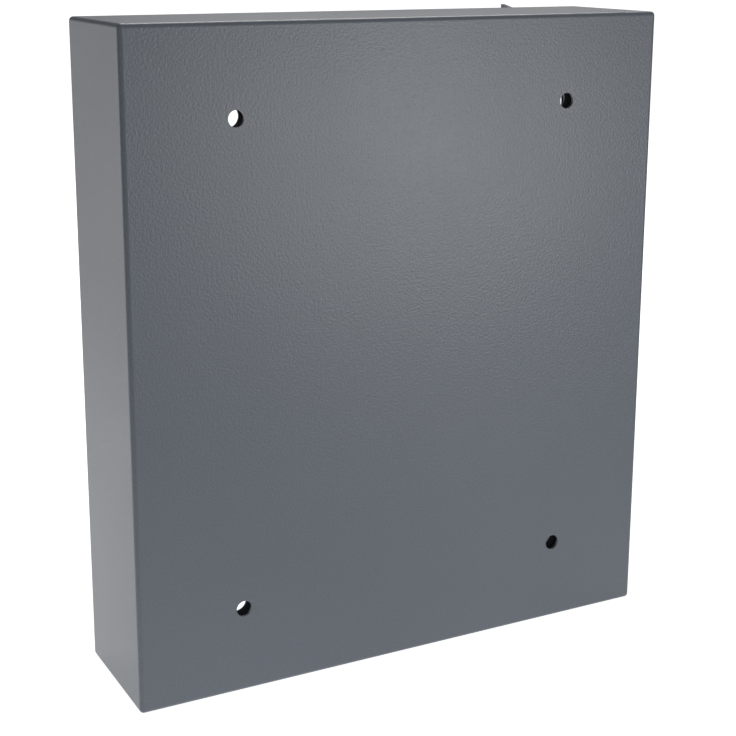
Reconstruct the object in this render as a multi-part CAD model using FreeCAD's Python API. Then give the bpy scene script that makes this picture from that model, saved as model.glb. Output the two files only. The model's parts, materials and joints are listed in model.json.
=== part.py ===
"""A shallow wall safe: a folded steel body bolted to a wall through its back, and a flush
hinged door that carries a keypad lock, a turning knob, three sliding bolts and a key override.

Frame: millimetres, +Z up. The origin is the middle of the back face, in the wall plane. The
body reaches from there towards -Y, and the door faces -Y when it is shut. Everything on the
door is drawn with the door shut and is then swung open about the hinge to its rest place.
"""

import FreeCAD, Part
import math
import os

from FreeCAD import Vector

# ---- driving dimensions -------------------------------------------------------------------
WIDTH, DEPTH, HEIGHT = 400.0, 100.0, 450.0
SHEET = 2.0                 # body sheet
BEND = 3.0                  # outer radius of the folds
FLANGE = 10.0               # width of the front edge round the door
JAMB = 16.0                 # depth of the return that the door shuts into
WALL_HOLE_R = 5.5           # clears an M10 anchor bolt
WALL_HOLES_X, WALL_HOLES_Z = 250.0, 330.0

DOOR_SHEET = 4.0
DOOR_GAP = 2.0
DOOR_OPEN = 117.0           # degrees that the door stands open at rest
PIVOT_X, PIVOT_Y = -166.0, -92.0
PIN_R, PIN_PLAY = 3.0, 0.05

LOCK_X = 75.0               # the keypad, key lock and knob stand in one column
KEYPAD_Z, KEYLOCK_Z, KNOB_Z = 105.0, 8.0, -58.0
CRANK_R = 8.0               # the knob's crank pin, which turns a quarter turn
BOLT_R = 7.0
BOLT_Y = -73.0
BOLT_Z = (-120.0, 0.0, 120.0)
BOLT_TIP = 185.2

# ---- places that follow from them ---------------------------------------------------------
HALF_W, HALF_H = WIDTH / 2, HEIGHT / 2
FRONT = -DEPTH
OPEN_X, OPEN_Z = HALF_W - FLANGE, HALF_H - FLANGE        # half the door opening
DOOR_X, DOOR_Z = OPEN_X - DOOR_GAP, OPEN_Z - DOOR_GAP    # half the door
DOOR_BACK = FRONT + DOOR_SHEET
JAMB_BACK = FRONT + JAMB
CRANK_SIDE = CRANK_R * math.sin(math.radians(45))
BOLT_TRAVEL = 2 * CRANK_SIDE

SIDES = (-1, 1)
CORNERS = [(sx, sz) for sx in SIDES for sz in SIDES]


# ---- helpers ------------------------------------------------------------------------------
def block(x, y, z, radius=0.0, along="Y"):
    """A box between pairs of limits, with the edges along one axis rounded."""
    solid = Part.makeBox(x[1] - x[0], y[1] - y[0], z[1] - z[0], Vector(x[0], y[0], z[0]))
    if radius:
        axis = {"X": Vector(1, 0, 0), "Y": Vector(0, 1, 0), "Z": Vector(0, 0, 1)}[along]
        edges = [e for e in solid.Edges if e.tangentAt(0).cross(axis).Length < 1e-6]
        solid = solid.makeFillet(radius, edges)
    return solid


def rod(radius, start, end):
    """A cylinder between two points."""
    a, b = Vector(*start), Vector(*end)
    return Part.makeCylinder(radius, (b - a).Length, a, b - a)


def ring(outer, inner, start, end):
    """A tube between two points."""
    return rod(outer, start, end).cut(rod(inner, start, end))


def cone(r_start, r_end, start, end):
    """A cone between two points."""
    a, b = Vector(*start), Vector(*end)
    return Part.makeCone(r_start, r_end, (b - a).Length, a, b - a)


def across(x, z, y, radius):
    """A cylinder along Y at one place on the front, between two depths."""
    return rod(radius, (x, y[0], z), (x, y[1], z))


def fuse(solids):
    """One solid out of several that touch or overlap."""
    return solids[0].multiFuse(solids[1:]).removeSplitter()


def cut(solid, tools):
    """A solid with several tools taken away."""
    for tool in tools:
        solid = solid.cut(tool)
    return solid


def soften(solid, radius, chosen):
    """Rounds the edges whose middle satisfies a test."""
    return solid.makeFillet(radius, [e for e in solid.Edges if chosen(e.CenterOfMass)])


def mirrored_z(solid):
    return solid.mirror(Vector(0, 0, 0), Vector(0, 0, 1))


def write(name, solids):
    """Writes one node: a solid, or a group of separate solids."""
    shape = solids[0] if len(solids) == 1 else Part.makeCompound(solids)
    shape.exportStep(f"parts/{name}.step")


def write_on_door(name, solids):
    """Writes a node that was drawn on the shut door, swung open to its rest place."""
    opened = [s.copy() for s in solids]
    for solid in opened:
        solid.rotate(Vector(PIVOT_X, PIVOT_Y, 0), Vector(0, 0, 1), -DOOR_OPEN)
    write(name, opened)


# ---- the body -----------------------------------------------------------------------------
def body_shell():
    """Back, four sides, the front flange and the jamb return, folded and welded from sheet."""
    outer = block((-HALF_W, HALF_W), (FRONT, 0), (-HALF_H, HALF_H))
    outer = outer.makeFillet(BEND, outer.Edges)
    inside = block(
        (-HALF_W + SHEET, HALF_W - SHEET),
        (FRONT + SHEET, -SHEET),
        (-HALF_H + SHEET, HALF_H - SHEET),
    )
    inside = inside.makeFillet(BEND - SHEET, inside.Edges)
    doorway = block((-OPEN_X, OPEN_X), (FRONT - 1, JAMB_BACK + 1), (-OPEN_Z, OPEN_Z), BEND)
    jamb = block(
        (-OPEN_X - SHEET, OPEN_X + SHEET),
        (FRONT + SHEET / 2, JAMB_BACK),
        (-OPEN_Z - SHEET, OPEN_Z + SHEET),
        BEND + SHEET,
    )
    shell = fuse([outer.cut(inside), jamb]).cut(doorway)
    shell = soften(
        shell,
        SHEET - 0.4,
        lambda p: abs(p.y - FRONT) < 0.01 and abs(p.x) < OPEN_X + 1 and abs(p.z) < OPEN_Z + 1,
    )
    holes = [
        across(sx * WALL_HOLES_X / 2, sz * WALL_HOLES_Z / 2, (-SHEET - 1, 1), WALL_HOLE_R)
        for sx, sz in CORNERS
    ]
    pins = [
        rod(PIN_R, (PIVOT_X, PIVOT_Y, s * (OPEN_Z - 1)), (PIVOT_X, PIVOT_Y, s * (OPEN_Z + 3)))
        for s in SIDES
    ]
    return cut(shell, holes + pins)


BRACKET_T, BRACKET_HALF = 4.0, 15.0


def hinge_brackets():
    """Thick plates welded behind the jamb, top and bottom, that hold the hinge pins."""
    z = OPEN_Z + SHEET
    x = (PIVOT_X - BRACKET_HALF, PIVOT_X + BRACKET_HALF)
    plate = block(x, (FRONT + SHEET, JAMB_BACK), (z, z + BRACKET_T))
    plate = plate.cut(rod(PIN_R, (PIVOT_X, PIVOT_Y, z - 1), (PIVOT_X, PIVOT_Y, z + BRACKET_T + 1)))
    return [plate, mirrored_z(plate)]


KNUCKLE_HALF, KNUCKLE_LENGTH = 7.0, 25.0
KNUCKLE_BACK = PIVOT_Y + 6.0
KNUCKLE_TOP, KNUCKLE_LOW = DOOR_Z, DOOR_Z - KNUCKLE_LENGTH
PIN_FOOT = KNUCKLE_LOW + 2.0
PIN_CHAMFER = 0.6
WASHER_R, WASHER_PLAY = 6.5, 0.15


def hinge_pins():
    """Fixed pins that stand in the brackets and reach into the door's knuckles."""
    top = OPEN_Z + SHEET + BRACKET_T
    pin = rod(PIN_R, (PIVOT_X, PIVOT_Y, PIN_FOOT), (PIVOT_X, PIVOT_Y, top))
    pin = pin.makeChamfer(PIN_CHAMFER, [e for e in pin.Edges if abs(e.CenterOfMass.z - PIN_FOOT) < 0.01])
    return [pin, mirrored_z(pin)]


def hinge_washers():
    """Nylon washers that the door turns on."""
    low = DOOR_Z + WASHER_PLAY
    washer = ring(WASHER_R, PIN_R + PIN_PLAY, (PIVOT_X, PIVOT_Y, low), (PIVOT_X, PIVOT_Y, OPEN_Z))
    return [washer, mirrored_z(washer)]


STRIKE_T, STRIKE_HALF = 3.0, 160.0


def strike_bar():
    """A bar welded behind the jamb on the lock side, which the bolts catch on."""
    y = (JAMB_BACK, JAMB_BACK + STRIKE_T)
    return block((OPEN_X, HALF_W - SHEET), y, (-STRIKE_HALF, STRIKE_HALF))


LINER_SHEET = 1.2
LINER_FRONT = -14.0
LINER_X, LINER_Z = 184.0, 209.0
BOSS_X, BOSS_Z = 168.0, 193.0
SCREW_R = 2.0
SHELF_Z = -30.0
SHELF_SCREWS_X = (-140.0, 0.0, 140.0)
RAIL_Z = 158.0
RAIL_SCREWS_X = (-104.0, 104.0)
RAIL_END = 112.0            # stops short of the upper ways through
RAIL_HALF = 9.0
ACCESS_R = 7.0


def screw_holes(places, y, radius):
    return [across(x, z, y, radius) for x, z in places]


SHELF_SCREWS = [(x, SHELF_Z - 11) for x in SHELF_SCREWS_X]
RAIL_SCREWS = [(x, RAIL_Z) for x in RAIL_SCREWS_X]
LINER_SCREWS = [(sx * BOSS_X, sz * BOSS_Z) for sx, sz in CORNERS]


def back_liner():
    """A shallow sheet tray that stands off the back, with a way through to each wall bolt."""
    tray = block((-LINER_X, LINER_X), (LINER_FRONT, -SHEET), (-LINER_Z, LINER_Z), 3.0)
    tray = soften(tray, 1.4, lambda p: abs(p.y - LINER_FRONT) < 0.01)
    hollow = block(
        (-LINER_X + LINER_SHEET, LINER_X - LINER_SHEET),
        (LINER_FRONT + LINER_SHEET, 0),
        (-LINER_Z + LINER_SHEET, LINER_Z - LINER_SHEET),
        2.0,
    )
    ways = [
        across(sx * WALL_HOLES_X / 2, sz * WALL_HOLES_Z / 2, (LINER_FRONT - 1, 0), ACCESS_R)
        for sx, sz in CORNERS
    ]
    screws = screw_holes(SHELF_SCREWS + RAIL_SCREWS + LINER_SCREWS, (LINER_FRONT - 1, 0), SCREW_R)
    return cut(tray.cut(hollow), ways + screws)


def liner_bosses():
    """Threaded bosses welded to the back, which the liner is screwed to."""
    return [
        ring(4.5, SCREW_R, (x, LINER_FRONT + LINER_SHEET, z), (x, -SHEET, z)) for x, z in LINER_SCREWS
    ]


HEAD_R, HEAD_T, HEAD_ROUND = 4.0, 2.4, 1.2
CROSS_REACH, CROSS_HALF, CROSS_DEPTH = 2.6, 0.5, 1.3


def pan_screw(x, z, seat, length):
    """A cross-slotted pan-head screw driven along +Y, with its head on a face at one depth."""
    top = seat - HEAD_T
    head = across(x, z, (top, seat), HEAD_R)
    head = soften(head, HEAD_ROUND, lambda p: abs(p.y - top) < 0.01)
    y = (top - 1, top + CROSS_DEPTH)
    slots = [
        block((x - a, x + a), y, (z - b, z + b))
        for a, b in ((CROSS_REACH, CROSS_HALF), (CROSS_HALF, CROSS_REACH))
    ]
    return cut(head, slots).fuse(across(x, z, (seat, seat + length), SCREW_R)).removeSplitter()


SHELF_SHEET = 1.5
SHELF_X = 178.0
SHELF_FRONT = -52.0
SHELF_LIP = 12.0
SHELF_DROP = 20.0


def shelf():
    """A folded sheet shelf with a lip on three sides and a flange down its back."""
    x, back = SHELF_X, LINER_FRONT
    bottom = SHELF_Z - SHELF_SHEET
    plates = [
        block((-x, x), (SHELF_FRONT, back), (bottom, SHELF_Z)),
        block((-x, x), (SHELF_FRONT, SHELF_FRONT + SHELF_SHEET), (bottom, SHELF_Z + SHELF_LIP)),
        block((-x, x), (back - SHELF_SHEET, back), (bottom - SHELF_DROP, SHELF_Z)),
        block((-x, -x + SHELF_SHEET), (SHELF_FRONT, back), (bottom, SHELF_Z + SHELF_LIP)),
        block((x - SHELF_SHEET, x), (SHELF_FRONT, back), (bottom, SHELF_Z + SHELF_LIP)),
    ]
    tray = cut(fuse(plates), screw_holes(SHELF_SCREWS, (back - 5, back + 1), SCREW_R))
    return soften(
        tray,
        1.2,
        lambda p: abs(p.y - SHELF_FRONT) < 0.01 and abs(p.z - bottom) < 0.01,
    )


PAN_SCREW = 9.0


def pan_screws():
    """Nine alike: four hold the liner, three the shelf's flange and two the hook rail."""
    on_liner = [pan_screw(x, z, LINER_FRONT, PAN_SCREW) for x, z in LINER_SCREWS]
    seat = LINER_FRONT - SHELF_SHEET
    return on_liner + [pan_screw(x, z, seat, PAN_SCREW) for x, z in SHELF_SCREWS + RAIL_SCREWS]


HOOK_WIRE = 1.4
HOOK_COUNT = 8
HOOK_PITCH = 26.0
HOOK_DROP = 4.0             # below the middle of the rail


def hook_rail():
    """The strip that carries the key hooks."""
    depth = (LINER_FRONT - SHELF_SHEET, LINER_FRONT)
    strip = block((-RAIL_END, RAIL_END), depth, (RAIL_Z - RAIL_HALF, RAIL_Z + RAIL_HALF), 4.0)
    return cut(strip, screw_holes(RAIL_SCREWS, (LINER_FRONT - 5, LINER_FRONT + 1), SCREW_R))


def key_hook(x):
    """A wire hook welded to the rail: out, round a bend and up to a rounded tip."""
    root, reach, bend, rise = LINER_FRONT - SHELF_SHEET, 15.0, 4.0, 5.0
    z = RAIL_Z - HOOK_DROP
    out = rod(HOOK_WIRE, (x, root, z), (x, root - reach, z))
    turn_at = Vector(x, root - reach, z + bend)
    section = Part.Wire(Part.makeCircle(HOOK_WIRE, Vector(x, root - reach, z), Vector(0, -1, 0)))
    elbow = Part.Face(section).revolve(turn_at, Vector(-1, 0, 0), 90)
    up_y = root - reach - bend
    up = rod(HOOK_WIRE, (x, up_y, z + bend), (x, up_y, z + bend + rise))
    tip = Part.makeSphere(HOOK_WIRE, Vector(x, up_y, z + bend + rise))
    return fuse([out, elbow, up, tip])


def key_hooks():
    first = -HOOK_PITCH * (HOOK_COUNT - 1) / 2
    return [key_hook(first + HOOK_PITCH * i) for i in range(HOOK_COUNT)]


MAT_HALF, MAT_T = 194.0, 2.5
MAT_Y = (JAMB_BACK + 1.5, -4.0)


def floor_mat():
    """A felt mat that lies on the floor of the body, behind the jamb."""
    floor = -HALF_H + SHEET
    return block((-MAT_HALF, MAT_HALF), MAT_Y, (floor, floor + MAT_T), 4.0, along="Z")


# ---- the door leaf, drawn shut ------------------------------------------------------------
COVER_X = (20.0, 175.4)
COVER_Z = 176.0
COVER_BACK = -58.0
COVER_SHEET = 1.2
COVER_FOOT = 10.0
COVER_BITE = 2.5
COVER_SCREWS = [(COVER_X[0] - 5, z) for z in (-120.0, 120.0)] + [
    (110.0, s * (COVER_Z + 5)) for s in SIDES
]
KEYPAD_X, KEYPAD_H = 50.0, 70.0                    # half the keypad housing
KEYPAD_FRONT = FRONT - 14.0
KEYPAD_STUDS = [(LOCK_X + sx * 40, KEYPAD_Z + sz * 60) for sx, sz in CORNERS]
STUD_R = 2.0
CABLE_R = 2.2
SPINDLE_R = 5.0
CYLINDER_R = 9.5
ESCUTCHEON_T = 2.5


def door_plate():
    """The steel door leaf, with holes for what passes through it."""
    leaf = block((-DOOR_X, DOOR_X), (FRONT, DOOR_BACK), (-DOOR_Z, DOOR_Z), 2.0)
    leaf = soften(leaf, 1.0, lambda p: abs(p.y - FRONT) < 0.01)
    through = (FRONT - 1, DOOR_BACK + 1)
    holes = [
        across(LOCK_X, KNOB_Z, through, SPINDLE_R + PIN_PLAY),
        across(LOCK_X, KEYLOCK_Z, through, CYLINDER_R),
        across(LOCK_X, KEYPAD_Z, through, CABLE_R + 2.8),
    ]
    tapped = screw_holes(COVER_SCREWS, (DOOR_BACK - COVER_BITE, DOOR_BACK + 1), SCREW_R)
    return cut(leaf, holes + tapped + screw_holes(KEYPAD_STUDS, through, STUD_R))


def hinge_knuckles():
    """Blocks welded inside the leaf that turn on the hinge pins."""
    x = (PIVOT_X - KNUCKLE_HALF, PIVOT_X + KNUCKLE_HALF)
    knuckle = block(x, (DOOR_BACK, KNUCKLE_BACK), (KNUCKLE_LOW, KNUCKLE_TOP))
    knuckle = soften(knuckle, 3.0, lambda p: abs(p.y - KNUCKLE_BACK) < 0.01 and abs(p.x - PIVOT_X) > 6)
    bore = rod(PIN_R + PIN_PLAY, (PIVOT_X, PIVOT_Y, KNUCKLE_LOW - 1), (PIVOT_X, PIVOT_Y, KNUCKLE_TOP + 1))
    knuckle = knuckle.cut(bore)
    return [knuckle, mirrored_z(knuckle)]


DOG_X, DOG_TIP_X = (-184.0, -181.0), -195.0
DOG_LIP_Y = (-81.5, -78.0)
DOG_HALF = 150.0


def hinge_side_dog():
    """A fixed bar that hooks behind the jamb on the hinge side when the door is shut."""
    z = (-DOG_HALF, DOG_HALF)
    upright = block(DOG_X, (DOOR_BACK, DOG_LIP_Y[1]), z)
    lip = block((DOG_TIP_X, DOG_X[1]), DOG_LIP_Y, z)
    return fuse([upright, lip])


GUIDE_X, GUIDE_HALF, GUIDE_SHEET = (158.0, 178.0), 165.0, 2.0
BOLT_PLAY = 0.08


def bolt_guide():
    """An angle along the free edge of the leaf, bored for the bolts."""
    run = (-GUIDE_HALF, GUIDE_HALF)
    foot = block(GUIDE_X, (DOOR_BACK, DOOR_BACK + GUIDE_SHEET), run)
    wall = block((GUIDE_X[1] - GUIDE_SHEET, GUIDE_X[1]), (DOOR_BACK, COVER_BACK), run)
    bores = [rod(BOLT_R + BOLT_PLAY, (GUIDE_X[0], BOLT_Y, z), (GUIDE_X[1] + 1, BOLT_Y, z)) for z in BOLT_Z]
    return cut(fuse([foot, wall]), bores)


BAR_FRONT, BAR_BACK = -90.0, -87.0
BAR_X, BAR_HALF = (118.0, 153.0), 150.0
BAR_FLANGE, BAR_FLANGE_BACK = 3.0, -60.0
THROUGH_BAR = (BAR_FRONT - 1, BAR_BACK + 1)
GUIDE_STUDS = [(140.0, -140.0), (140.0, 140.0)]
GUIDE_STUD_R, STUD_COLLAR_R = 3.0, 6.0
STUD_PLAY = 0.2
ARM_X0, ARM_ROUND = 58.0, 4.0
ARM_Z = (KNOB_Z - 24, KNOB_Z + 20)
CRANK_PIN_R = 2.5
CRANK_SLOT_HALF, CRANK_SLOT_END = 3.1, 3.2
PLUNGER_X, PLUNGER_Y = 104.0, (BAR_FRONT + BAR_BACK) / 2
PLUNGER_R = 3.0
PLUNGER_DROP = 6.0
NOTCH_PLAY = 0.3
RIVET_R, RIVET_HEAD_R, RIVET_HEAD_T = 4.0, 5.5, 2.0


def bolt_bar():
    """The sliding bar: an angle with two slots for its guide studs and three holes for the bolts."""
    run = (-BAR_HALF, BAR_HALF)
    strip = block(BAR_X, (BAR_FRONT, BAR_BACK), run)
    flange = block((BAR_X[1] - BAR_FLANGE, BAR_X[1]), (BAR_FRONT, BAR_FLANGE_BACK), run)
    side = GUIDE_STUD_R + STUD_PLAY
    slots = [
        block((x - BOLT_TRAVEL - side, x + side), THROUGH_BAR, (z - side, z + side), side - 0.1)
        for x, z in GUIDE_STUDS
    ]
    rivets = [rod(RIVET_R, (BAR_X[1] - 5, BOLT_Y, z), (BAR_X[1] + 1, BOLT_Y, z)) for z in BOLT_Z]
    return cut(fuse([strip, flange]), slots + rivets)


def bolt_arm():
    """A plate welded to the bar's edge, with the crank's slot and the plunger's two notches."""
    arm = block((ARM_X0, BAR_X[0]), (BAR_FRONT, BAR_BACK), ARM_Z)
    arm = soften(arm, ARM_ROUND, lambda p: abs(p.x - ARM_X0) < 0.01 and abs(p.y - PLUNGER_Y) < 0.01)
    crank_x = LOCK_X - CRANK_SIDE
    crank_slot = block(
        (crank_x - CRANK_SLOT_HALF, crank_x + CRANK_SLOT_HALF),
        THROUGH_BAR,
        (KNOB_Z + CRANK_SIDE - CRANK_SLOT_END, KNOB_Z + CRANK_R + CRANK_SLOT_END),
        CRANK_SLOT_HALF - 0.1,
    )
    half = PLUNGER_R + NOTCH_PLAY
    notches = [
        block((x - half, x + half), THROUGH_BAR, (ARM_Z[1] - PLUNGER_DROP - 0.5, ARM_Z[1] + 1))
        for x in (PLUNGER_X, PLUNGER_X - BOLT_TRAVEL)
    ]
    return cut(arm, [crank_slot] + notches)


def locking_bolts():
    """Three round bolts, shouldered and riveted into the bar's flange."""
    flange = BAR_X[1] - BAR_FLANGE
    bolts = []
    for z in BOLT_Z:
        shank = rod(BOLT_R, (BAR_X[1], BOLT_Y, z), (BOLT_TIP, BOLT_Y, z))
        shank = soften(shank, 1.5, lambda p: abs(p.x - BOLT_TIP) < 0.01)
        tail = rod(RIVET_R, (flange - RIVET_HEAD_T, BOLT_Y, z), (BAR_X[1], BOLT_Y, z))
        head = rod(RIVET_HEAD_R, (flange - RIVET_HEAD_T, BOLT_Y, z), (flange, BOLT_Y, z))
        bolts.append(fuse([shank, tail, head]))
    return bolts


def bar_guide_studs():
    """Shouldered studs on the leaf that the bar slides on."""
    studs = []
    for x, z in GUIDE_STUDS:
        collar = across(x, z, (DOOR_BACK, BAR_FRONT - STUD_PLAY), STUD_COLLAR_R)
        neck = across(x, z, (BAR_FRONT - STUD_PLAY, BAR_BACK + STUD_PLAY), GUIDE_STUD_R)
        head = across(x, z, (BAR_BACK + STUD_PLAY, BAR_BACK + 3), STUD_COLLAR_R)
        studs.append(fuse([collar, neck, head]))
    return studs


CAM_R = 17.0


def drive_cam():
    """The disc on the knob's spindle, with the crank pin that moves the bar."""
    disc = across(LOCK_X, KNOB_Z, (DOOR_BACK + 1, BAR_FRONT - 1), CAM_R)
    pin_y = (BAR_FRONT - 1.5, BAR_BACK + 0.5)
    pin = across(LOCK_X - CRANK_SIDE, KNOB_Z + CRANK_SIDE, pin_y, CRANK_PIN_R)
    return cut(fuse([disc, pin]), [across(LOCK_X, KNOB_Z, (DOOR_BACK, BAR_FRONT), SPINDLE_R)])


# ---- the knob -----------------------------------------------------------------------------
ROSETTE_R, ROSETTE_T = 27.0, 4.0
KNOB_R, KNOB_PLAY = 21.0, 0.3
KNOB_BASE_T = 9.0
KNOB_GRIP_T = 15.0
GRIP_HALF = 7.0


def knob_rosette():
    """The collar between the leaf and the knob."""
    collar = across(LOCK_X, KNOB_Z, (FRONT - ROSETTE_T, FRONT), ROSETTE_R)
    collar = soften(collar, 1.5, lambda p: abs(p.y - FRONT + ROSETTE_T) < 0.01)
    return collar.cut(across(LOCK_X, KNOB_Z, (FRONT - ROSETTE_T - 1, FRONT + 1), SPINDLE_R + PIN_PLAY))


def knob():
    """A turning knob: a round base, an upright bar grip, and the spindle through the leaf."""
    seat = FRONT - ROSETTE_T - KNOB_PLAY
    base_top = seat - KNOB_BASE_T
    base = across(LOCK_X, KNOB_Z, (base_top, seat), KNOB_R)
    base = soften(base, 2.0, lambda p: abs(p.y - base_top) < 0.01)
    grip = block(
        (LOCK_X - GRIP_HALF, LOCK_X + GRIP_HALF),
        (base_top - KNOB_GRIP_T, base_top + 4),
        (KNOB_Z - KNOB_R + 1.5, KNOB_Z + KNOB_R - 1.5),
        3.0,
    )
    grip = soften(grip, 2.0, lambda p: abs(p.y - base_top + KNOB_GRIP_T) < 0.01)
    spindle = across(LOCK_X, KNOB_Z, (seat - 1, BAR_FRONT - 1), SPINDLE_R)
    return fuse([base, grip, spindle])


# ---- the key override ---------------------------------------------------------------------
PLUG_R = 6.5
LOCK_FACE = FRONT - ESCUTCHEON_T - 0.4
DROP_BACK = FRONT - ESCUTCHEON_T - 0.8
DROP_R, DROP_TOP_R, DROP_T = 8.5, 4.5, 1.6
DROP_PIN_R, DROP_HEAD_R = 1.5, 3.0
NUT_R, NUT_T = 14.0, 4.0
ESCUTCHEON_HALF = 14.0
KEYWAY_HALF_X, KEYWAY_HALF_Z, KEYWAY_DEPTH = 0.8, 4.2, 22.0
COVER_PIVOT_Z = KEYLOCK_Z + 15.0
LEVER_Y = (-74.0, -72.0)
LEVER_HALF = 4.0
LEVER_REACH = 26.0


def lock_escutcheon():
    """An oval plate on the leaf round the key lock."""
    plate = block(
        (LOCK_X - ESCUTCHEON_HALF, LOCK_X + ESCUTCHEON_HALF),
        (FRONT - ESCUTCHEON_T, FRONT),
        (KEYLOCK_Z - ESCUTCHEON_HALF, COVER_PIVOT_Z + 7),
        ESCUTCHEON_HALF - 0.1,
    )
    plate = soften(plate, 1.0, lambda p: abs(p.y - FRONT + ESCUTCHEON_T) < 0.01)
    through = (FRONT - ESCUTCHEON_T - 1, FRONT + 1)
    pin_hole = across(LOCK_X, COVER_PIVOT_Z, through, DROP_PIN_R)
    return cut(plate, [across(LOCK_X, KEYLOCK_Z, through, CYLINDER_R), pin_hole])


def key_cylinder():
    """The fixed shell of the key lock, held by a nut inside the leaf."""
    shell = across(LOCK_X, KEYLOCK_Z, (LOCK_FACE, -76), CYLINDER_R)
    return shell.cut(across(LOCK_X, KEYLOCK_Z, (FRONT - 10, -70), PLUG_R + PIN_PLAY))


def cylinder_nut():
    """The thin hexagonal nut that clamps the key lock to the leaf."""
    points = [
        Vector(
            LOCK_X + NUT_R * math.cos(math.radians(60 * i)),
            DOOR_BACK,
            KEYLOCK_Z + NUT_R * math.sin(math.radians(60 * i)),
        )
        for i in range(7)
    ]
    hexagon = Part.Face(Part.makePolygon(points)).extrude(Vector(0, NUT_T, 0))
    return hexagon.cut(across(LOCK_X, KEYLOCK_Z, (DOOR_BACK - 1, DOOR_BACK + NUT_T + 1), CYLINDER_R))


def key_plug():
    """The turning plug, with its keyway."""
    plug = across(LOCK_X, KEYLOCK_Z, (LOCK_FACE, LEVER_Y[0]), PLUG_R)
    keyway = block(
        (LOCK_X - KEYWAY_HALF_X, LOCK_X + KEYWAY_HALF_X),
        (LOCK_FACE - 1, LOCK_FACE + KEYWAY_DEPTH),
        (KEYLOCK_Z - KEYWAY_HALF_Z, KEYLOCK_Z + KEYWAY_HALF_Z),
    )
    return plug.cut(keyway)


def override_lever():
    """The lever on the plug's tail. Turned a quarter turn it comes up under the plunger's pin."""
    end_z = KEYLOCK_Z - LEVER_REACH
    return fuse([
        across(LOCK_X, KEYLOCK_Z, LEVER_Y, 8.0),
        block((LOCK_X - LEVER_HALF, LOCK_X + LEVER_HALF), LEVER_Y, (end_z, KEYLOCK_Z)),
        across(LOCK_X, end_z, LEVER_Y, LEVER_HALF),
    ])


def keyhole_cover():
    """A drop that hangs over the keyhole and swings aside."""
    y = (DROP_BACK - DROP_T, DROP_BACK)
    drop = fuse([
        across(LOCK_X, KEYLOCK_Z, y, DROP_R),
        block((LOCK_X - DROP_TOP_R, LOCK_X + DROP_TOP_R), y, (KEYLOCK_Z, COVER_PIVOT_Z)),
        across(LOCK_X, COVER_PIVOT_Z, y, DROP_TOP_R),
    ])
    return drop.cut(across(LOCK_X, COVER_PIVOT_Z, (y[0] - 1, y[1] + 1), DROP_PIN_R + PIN_PLAY))


def cover_rivet():
    """The rivet that the drop swings on."""
    seat = DROP_BACK - DROP_T - 0.15
    top = seat - 1.25
    neck = across(LOCK_X, COVER_PIVOT_Z, (seat, FRONT), DROP_PIN_R)
    head = across(LOCK_X, COVER_PIVOT_Z, (top, seat), DROP_HEAD_R)
    head = soften(head, 0.8, lambda p: abs(p.y - top) < 0.01)
    washer = across(LOCK_X, COVER_PIVOT_Z, (DROP_BACK + 0.15, FRONT - ESCUTCHEON_T), DROP_HEAD_R)
    return fuse([neck, head, washer])


# ---- the keypad ---------------------------------------------------------------------------
BUTTON_X, BUTTON_H = 11.5, 8.5                    # half a button
BUTTON_PITCH_X, BUTTON_PITCH_Z = 29.0, 23.0
BUTTON_TOP_Z = KEYPAD_Z + 27.0
BUTTON_PLAY = 0.35
BUTTON_RISE = 1.4
BUTTON_BACK = KEYPAD_FRONT + 4.0
SKIRT = 1.2
SHELL_T = 2.0
LAMP_R, LAMP_RISE = 2.45, 0.4
BOARD_FRONT, BOARD_BACK = KEYPAD_FRONT + 9.5, KEYPAD_FRONT + 11.1
BOSS_R = 4.0
LED_Z = KEYPAD_Z + 53.0
LED_X = [LOCK_X + 16 * i for i in (-1, 0, 1)]
BUTTONS = [
    (name, LOCK_X + BUTTON_PITCH_X * (i % 3 - 1), BUTTON_TOP_Z - BUTTON_PITCH_Z * (i // 3))
    for i, name in enumerate(
        ["1", "2", "3", "4", "5", "6", "7", "8", "9", "star", "0", "hash"]
    )
]


def keypad_housing():
    """The moulded keypad case, with an opening for each button and a window for the lamps."""
    case = block(
        (LOCK_X - KEYPAD_X, LOCK_X + KEYPAD_X),
        (KEYPAD_FRONT, FRONT),
        (KEYPAD_Z - KEYPAD_H, KEYPAD_Z + KEYPAD_H),
        10.0,
    )
    case = soften(case, 2.5, lambda p: abs(p.y - KEYPAD_FRONT) < 0.01)
    hollow = block(
        (LOCK_X - KEYPAD_X + SHELL_T, LOCK_X + KEYPAD_X - SHELL_T),
        (KEYPAD_FRONT + SHELL_T, FRONT + 1),
        (KEYPAD_Z - KEYPAD_H + SHELL_T, KEYPAD_Z + KEYPAD_H - SHELL_T),
        8.0,
    )
    through = (KEYPAD_FRONT - 1, KEYPAD_FRONT + SHELL_T + 1)
    openings = [
        block(
            (x - BUTTON_X - BUTTON_PLAY, x + BUTTON_X + BUTTON_PLAY),
            through,
            (z - BUTTON_H - BUTTON_PLAY, z + BUTTON_H + BUTTON_PLAY),
            3.3,
        )
        for _, x, z in BUTTONS
    ]
    lamps = [across(x, LED_Z, through, LAMP_R + PIN_PLAY) for x in LED_X]
    bosses = [ring(BOSS_R, STUD_R, (x, KEYPAD_FRONT + 1, z), (x, FRONT, z)) for x, z in KEYPAD_STUDS]
    return fuse([cut(case.cut(hollow), openings + lamps)] + bosses)


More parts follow.
